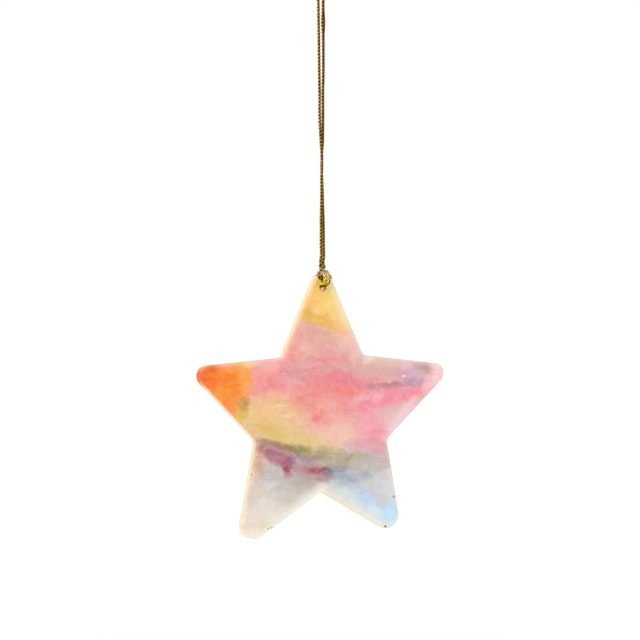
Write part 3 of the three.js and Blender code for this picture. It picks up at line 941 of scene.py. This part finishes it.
RIGHT_ARM = [
    ("rose", 14, 3.4, 7, 3, 6, 0xf8949e, 0.95, 0.6),
    ("pale patch", 11.2, 4.6, 2.4, 0.9, 25, 0xf8ccc8, 0.5),
    ("long rose", 25, 6.6, 12, 2.8, 14, 0xfb94a4, 0.95, 0.4),
    ("muted rose", 25.5, 6.8, 2, 1.2, 14, 0xeaa2a8, 0.8),
    ("grey rose", 17, 13.6, 9, 3.6, -3, 0xe5b2aa, 0.95, 0.45),
    ("beige", 19, 15.4, 5, 1.6, -4, 0xe8c6b8, 0.7),
    ("pale root", 14.2, 16.3, 1.9, 1.1, -6, 0xfadfd8, 0.7),
    ("shoulder", 10.8, 18.6, 1.8, 3.2, -24, 0xf8d2ce, 0.6, 0.8),
    ("lilac", 28, 11.8, 5.6, 3, -6, 0xdeb2c2, 0.95, 0.5),
    ("grey violet", 31, 14, 2.2, 1.8, -10, 0xd2acb4, 0.85, 0.6),
    ("pale lilac", 26.2, 14.3, 2.4, 1.2, -6, 0xf2cad4, 0.7),
    ("lilac foot", 29.5, 9.4, 4, 1.2, 0, 0xc49cae, 0.8),
    ("dusk", 15, 9.6, 4, 1.5, -8, 0xec9ca2, 0.75),
    ("dark streak", 19.5, 8.7, 5.6, 0.75, 2, 0xc27e8e, 0.75),
    ("streak end", 23.2, 8.6, 2, 0.9, 8, 0xc08c98, 0.65),
    ("tip blush", 38, 12.3, 5, 3.6, 0, 0xffd0d0, 1, 0.4),
    ("tip foot", 34.2, 8.4, 2.4, 1.4, 14, 0xffd0da, 0.8),
    ("tip top", 33.6, 13.5, 2, 1.8, 0, 0xc89898, 0.75),
    ("lower lilac", 24.4, -1.4, 6, 3.1, 42, 0xf8ccd4, 0.9, 0.6),
    ("pink edge", 27.6, 2.6, 3.4, 1.3, 42, 0xffd4dc, 0.7),
    ("lilac rose", 18.4, 1.4, 2.6, 1.2, 10, 0xf0bec8, 0.6),
    ("pale waist", 17.9, -2.1, 2.4, 1.6, 30, 0xf4c8d0, 0.75),
    ("pale edge", 24.5, -3.2, 5.5, 2, 42, 0xf4d6dc, 0.8),
    ("waist pink", 15, -4, 4.4, 5.5, 24, 0xfca8b4, 0.95, 0.6),
    ("strong pink", 17.4, -6, 2.4, 2.6, 10, 0xf99aaa, 0.75, 0.8),
    ("waist dusk", 15, -8.6, 7.5, 2.2, -6, 0xe4acb0, 0.95, 0.45),
    ("fleck", 25.8, 11, 0.6, 0.4, 15, 0xfff6f6, 0.85, 0.5),
    ("fleck", 21.4, 9.6, 0.5, 0.35, 20, 0xf8dede, 0.6, 0.6),
    ("strokes", 14.6, 5.9, 1.2, 0.3, 32, 0xfcdce0, 0.5),
    ("pale rose", 17.4, 5.6, 2.2, 1, 20, 0xfcc8d0, 0.6),
    ("stroke", 13.4, 4.6, 1, 0.25, 26, 0xfbd4da, 0.4),
    ("pale curl", -4, 14.4, 1.8, 0.28, 12, 0xf6d2ce, 0.32),
    ("pale tick", -6.3, 19.1, 0.9, 0.28, -30, 0xf8d8d2, 0.45),
    ("dark hair", -7.2, 5.2, 1.7, 0.22, -42, 0xd47a76, 0.35),
]
FEET = [
    ("grey", -14, -20, 13, 9, 28, 0xd2cbc8, 1, 0.3),
    ("lilac grey", -14, -15.4, 6, 2, -10, 0xcabeba, 0.8),
    ("white lines", -18.5, -18.6, 3.4, 1, 6, 0xe2dcd8, 0.6),
    ("beige", -20, -28, 8, 6, 30, 0xf0e4d6, 0.95, 0.6),
    ("cool side", -21.8, -18, 1.8, 5, 8, 0xe6d6c8, 0.8, 0.6),
    ("peach", -21, -12, 1.5, 5, 12, 0xd4ae92, 0.8, 0.9),
    ("dusk", -5, -18.2, 6, 2.4, 6, 0xbeaaa2, 0.85),
    ("olive grey", -8.5, -21.4, 4, 2, 24, 0xd0c8ba, 0.8, 0.8),
    ("green spot", -17.6, -30.4, 2.1, 1.2, 16, 0xb4d870, 1),
    ("right grey", 13, -21.5, 15, 10, -32, 0xd6d6d8, 1, 0.3),
    ("right edge", 21.5, -21, 1.8, 6, 12, 0xe2e2e2, 0.8, 0.6),
]
BELT = [
    ("khaki", 5, -12.2, 15, 2.8, -5, 0xbfb198, 1, 0.3),
    ("pink end", 19, -12.6, 4.4, 2.5, 0, 0xd0bcbe, 0.9),
    ("yellow", 0, -9.2, 5, 0.9, -6, 0xd1ba8a, 0.8),
    ("grey", 13, -13.8, 5, 2, -4, 0xc9c1bc, 0.85),
    ("grey foot", 10.8, -16.3, 2, 0.9, 0, 0xb8b0a2, 0.6),
    ("olive curl", 7.6, -11.6, 1.8, 0.55, 30, 0xa89a66, 0.7),
    ("curl foot", 7.4, -13.1, 0.55, 1.2, 10, 0xbaaa74, 0.7, 0.8),
    ("brown line", -15, -7.3, 6.8, 0.8, -10, 0x906c48, 0.8, 0.9),
    ("brown end", -19.6, -8.4, 2.1, 1, -14, 0xa87c5c, 0.85, 0.8),
    ("green", -7.9, -8.7, 3.3, 1.1, -4, 0x989248, 0.9, 0.8),
    ("plum", -14.8, -10.5, 5.2, 2.3, -24, 0xb67886, 1, 0.5),
    ("plum violet", -10.7, -12, 1.3, 1.3, 0, 0x984a86, 0.75, 0.6),
    ("plum drip", -12, -13.6, 1.2, 2.2, -10, 0xb06478, 0.7, 0.6),
    ("drop", -11.6, -14.1, 1.35, 0.95, -10, 0x9c0c3c, 1),
    ("drop foot", -11.6, -15.9, 1.4, 0.8, 0, 0xb0707c, 0.6),
    ("shade", -10.2, -9.4, 3.2, 1, -22, 0x8c7050, 0.7, 0.8),
    ("olive", -2.6, -10.6, 3.4, 1, -6, 0xac9466, 0.7),
    ("rosy haze", -6, -14.4, 5, 1.9, -6, 0xbe8e90, 0.85),
    ("mauve line", -4, -12.4, 5, 0.9, -8, 0xbea19c, 0.8),
    ("dashes", -5.6, -11.4, 3, 0.6, -6, 0xa886a5, 0.7, 0.8),
    ("streak", -2.4, -15, 3.6, 1, -10, 0xb25660, 0.9),
    ("violet end", 1, -15.3, 2.1, 1, -4, 0x683e56, 0.9),
    ("mauve foot", 1.8, -16.6, 2.4, 0.9, -20, 0xa6687a, 0.8),
    ("rosy foot", -0.6, -17.4, 2.6, 0.9, -8, 0xac807a, 0.7),
    ("steel grey", 4.8, -14.9, 3.2, 1.5, -6, 0xa29cac, 0.85),
]
BLUE_FOOT = [
    ("start", 6.4, -17.5, 4.6, 1.5, -12, 0xa4aebc, 0.9, 0.6),
    ("grey", 4.8, -18.8, 2, 1, -10, 0xb8b6b6, 0.6),
    ("grey blue", 13.6, -16.9, 2.2, 1.3, 0, 0xa8b0b8, 0.8),
    ("run", 10.6, -20.9, 4.5, 1.4, -26, 0xc8d4e4, 0.85),
    ("blue side", 9, -22.8, 6.4, 1.5, -30, 0xe0e8ec, 0.85, 0.8),
    ("patch", 14, -24.2, 3.4, 2, -24, 0xc4dcf4, 0.95, 0.6),
    ("blue", 22, -28.5, 4.4, 3.7, -10, 0xc6e8ff, 1, 0.4),
    ("cream side", 13, -29.3, 7, 1.8, -28, 0xf8f8ea, 0.9, 0.6),
    ("blue foot", 16.2, -27, 2.6, 1.3, -28, 0xe6f4fc, 0.75),
    ("grey side", 10.8, -26.2, 2.2, 1.2, -30, 0xdfe6e8, 0.6),
]
WASHES = UPPER_ARM + LEFT_ARM + YELLOW_WASH + MIDDLE + RIGHT_ARM + FEET + BELT + BLUE_FOOT
SPECKS = [
    # across, depth from the middle, up, radius
    (-22.1, -1.1, -15.4, 0.32), (-17.5, -1.8, -30.5, 0.16), (-16.4, -1.8, -30.3, 0.2),
    (22.6, -1.8, -23.1, 0.24), (19.8, -1.8, -31.5, 0.3), (17.4, -1.8, 9.0, 0.15),
]
SPECK_COLOUR = 0x4d4138
SPECK_EDGE = (0.7, 1.4)  # from its full colour to none, as shares of its radius
SPECK_COVER = 0.92
WALL_CREAM = 0xfff3cc  # the side wall and its layers
WALL_LAYER = 0xfce4b4
WALL_SHADE = 0xfaf6f0  # painted shade: dyed wall is made a little darker and deeper than the face
WALL_DEPTH = 1.1
WALL_BEGINS = (0.0, 0.7)
SOAKED = (-1.8, 0.4, 0.92, 0.25)  # two depths, and the dye's share in the wall at them
DYED_TIP = (-38.5, -33.5, 0.95, 0.0)  # the same across, as the left point is dyed right round
EDGE_CREAM = 0xfbf6e6
HOLE_LIGHT = 0xffdcba
LIGHT_CARRIED = 0.42
RIM_SHADE = 0xd08c44
FIBRE_PALE = 0xfbeee8
TINT_SPREAD = (0.16, 0.3, 0.34)  # of the blotches of dye, in red, green and blue
BORDERS_WANDER = ((3, 0, 2.4), (2.0, 0, 0.9))  # broadly and raggedly
GRAIN_WANDERS = (5, 0, 4)
GRAIN_TILT = radians(-9)


def wash_group():
    """One wash: the colour under it, covered inside a soft oval."""
    group = bpy.data.node_groups.new("wash", "ShaderNodeTree")
    sockets = {"Color": ("Under", "Over"), "Vector": ("Place", "Centre", "Half"),
               "Float": ("Tilt", "Strength", "Inner", "Outer")}
    for kind, names in sockets.items():
        for name in names:
            group.interface.new_socket(name, in_out="INPUT", socket_type="NodeSocket" + kind)
    group.interface.new_socket("Colour", in_out="OUTPUT", socket_type="NodeSocketColor")
    tree = Shading(group)
    given = group.nodes.new("NodeGroupInput").outputs
    offset = tree.vector("SUBTRACT", given["Place"], given["Centre"])
    turned = tree.node("VectorRotate", {"Vector": offset, "Angle": given["Tilt"]}, rotation_type="Y_AXIS")
    reach = tree.length(tree.vector("DIVIDE", turned, given["Half"]))
    cover = tree.ramp(reach, given["Inner"], given["Outer"], given["Strength"], 0.0)
    output = group.nodes.new("NodeGroupOutput")
    group.links.new(tree.mix(cover, given["Under"], given["Over"]), output.inputs["Colour"])
    return group


def lay_washes(tree, place):
    group = wash_group()
    colour = linear(UNDER_COLOUR)
    for name, across, up, wide, high, tilt, over, strength, *softness in WASHES:
        softness = softness[0] if softness else SOFTNESS
        inputs = {"Under": colour, "Over": linear(over), "Place": place, "Centre": (across, 0, up),
                  "Tilt": radians(tilt), "Half": (wide, THROUGH, high),
                  "Strength": strength, "Inner": 1 - softness, "Outer": 1 + softness}
        colour = tree.node("Group", inputs, node_tree=group, label=name)
    return colour


def add_specks(tree, colour, place):
    for across, depth, up, radius in SPECKS:
        away = tree.length(tree.vector("SUBTRACT", place, (across, depth, up)))
        cover = tree.ramp(away, *(share * radius for share in SPECK_EDGE), SPECK_COVER, 0.0)
        colour = tree.mix(cover, colour, linear(SPECK_COLOUR))
    return colour


def star_material():
    material, tree = new_material("dyed_nacre")
    spot = tree.node("TexCoord", output=3)
    place = tree.vector("SUBTRACT", spot, tuple(STAR_CENTRE))
    place = tree.node("VectorMath", {0: place, "Scale": 1 / MM}, operation="SCALE")
    flat = tree.vector("MULTIPLY", place, (1, 0.35, 1))
    broad = tree.vector("SUBTRACT", tree.noise(flat, 0.22, 2.0, output="Color"), (0.5, 0.5, 0.5))
    ragged = tree.vector("SUBTRACT", tree.noise(flat, 0.9, 4.0, 0.6, output="Color"), (0.5, 0.5, 0.5))
    warped = place
    for way, reach in zip((broad, ragged), BORDERS_WANDER):
        warped = tree.vector("MULTIPLY_ADD", way, reach, warped)
    colour = lay_washes(tree, warped)

    # Fine grain that runs nearly level across the face: brushed streaks, mottling and pale shell fibres.
    bent = tree.vector("MULTIPLY_ADD", broad, GRAIN_WANDERS, place)
    grain = tree.node("VectorRotate", {"Vector": bent, "Angle": GRAIN_TILT}, rotation_type="Y_AXIS")
    streaks = tree.noise(tree.vector("MULTIPLY", grain, (0.34, 0.6, 0.8)), 1.0, 4.0, 0.62)
    mottle = tree.noise(flat, 1.0, 5.0, 0.7)
    paler, deeper = tree.gamma(colour, 0.62), tree.gamma(colour, 1.45)
    colour = tree.mix(tree.ramp(streaks, 0.46, 0.7, 0.0, 0.5), colour, paler)
    colour = tree.mix(tree.ramp(streaks, 0.28, 0.5, 0.36, 0.0), colour, deeper)
    colour = tree.mix(tree.ramp(mottle, 0.34, 0.52, 0.26, 0.0), colour, deeper)
    tint = tree.noise(flat, 0.55, 4.0, 0.65, output="Color")
    tint = tree.vector("MULTIPLY_ADD", tint, TINT_SPREAD, [1 - spread / 2 for spread in TINT_SPREAD])
    colour = tree.mix(1.0, colour, tint, "MULTIPLY")
    fibres = tree.noise(tree.vector("MULTIPLY", grain, (0.16, 0.5, 0.8)), 1.0, 2.0, 0.5)
    patches = tree.noise(flat, 0.35, 1.0)
    fibre = tree.ramp(tree.apart(fibres, 0.5), 0.0, 0.012, 0.3, 0.0)
    fibre = tree.math("MULTIPLY", fibre, tree.ramp(patches, 0.5, 0.6))
    colour = tree.mix(fibre, colour, linear(FIBRE_PALE))

    # The dye is thin where an edge was rubbed pale, and fades along the side wall towards the back.
    rubbed, side, lit = map(tree.point_value, ("rubbed", "side", "lit"))
    colour = tree.mix(rubbed, colour, linear(EDGE_CREAM))
    across = tree.node("SeparateXYZ", {"Vector": place}, "X")
    depth = tree.node("SeparateXYZ", {"Vector": place}, "Y")
    layers = tree.noise(tree.vector("MULTIPLY", place, (0.12, 3.2, 0.12)), 1.0, 3.0)
    cream = tree.mix(tree.ramp(layers, 0.35, 0.65, 0.0, 0.5), linear(WALL_CREAM), linear(WALL_LAYER))
    # Painted light: the inside of the hole and the walls that face down are painted paler cream.
    cream = tree.mix(lit, cream, linear(EDGE_CREAM))
    # Painted shade on the dyed wall, against the lamps that light it more than the face.
    shaded_dye = tree.mix(1.0, tree.gamma(colour, WALL_DEPTH), linear(WALL_SHADE), "MULTIPLY")
    share = tree.math("MAXIMUM", tree.ramp(depth, *SOAKED), tree.ramp(across, *DYED_TIP))
    wall = tree.ramp(side, *WALL_BEGINS)
    colour = tree.mix(wall, colour, tree.mix(share, cream, shaded_dye))
    colour = add_specks(tree, colour, place)

    # Painted shade in a ring round the hole, on both faces.
    bore = tree.vector("SUBTRACT", spot, tuple(HOLE))
    bore = tree.length(tree.vector("MULTIPLY", bore, (1 / MM, 0, 1 / MM)))
    ring = tree.ramp(tree.apart(bore, HOLE_RADIUS + RIM / 2), 0.08, 0.3, 0.8, 0.0)
    ring = tree.math("MULTIPLY", ring, tree.ramp(tree.math("ABSOLUTE", depth), 0.5, 1.5))
    colour = tree.mix(ring, colour, linear(RIM_SHADE))

    # Painted glow: emission, with paler cream, on the inside of the hole and on the walls that face down,
    # stands for light that the pale slab carries.
    height = tree.math("ADD", *(tree.math("MULTIPLY", part, 0.4) for part in (streaks, mottle)))
    finish_material(tree, Base_Color=colour, Roughness=tree.ramp(mottle, 0.3, 0.7, 0.36, 0.5),
                    Specular_IOR_Level=tree.ramp(wall, 0.0, 1.0, 0.3, 0.1), Coat_Weight=0.06,
                    Coat_Roughness=0.2, Subsurface_Weight=0.3, Subsurface_Radius=(1.0, 0.8, 0.6),
                    Subsurface_Scale=1.6 * MM, Emission_Strength=tree.math("MULTIPLY", lit, LIGHT_CARRIED),
                    Emission_Color=tree.mix(tree.ramp(lit, 0.6, 0.7), colour, linear(HOLE_LIGHT)),
                    Normal=tree.bump(height, 0.04 * MM, 0.35))
    return material


build_star(star_material())
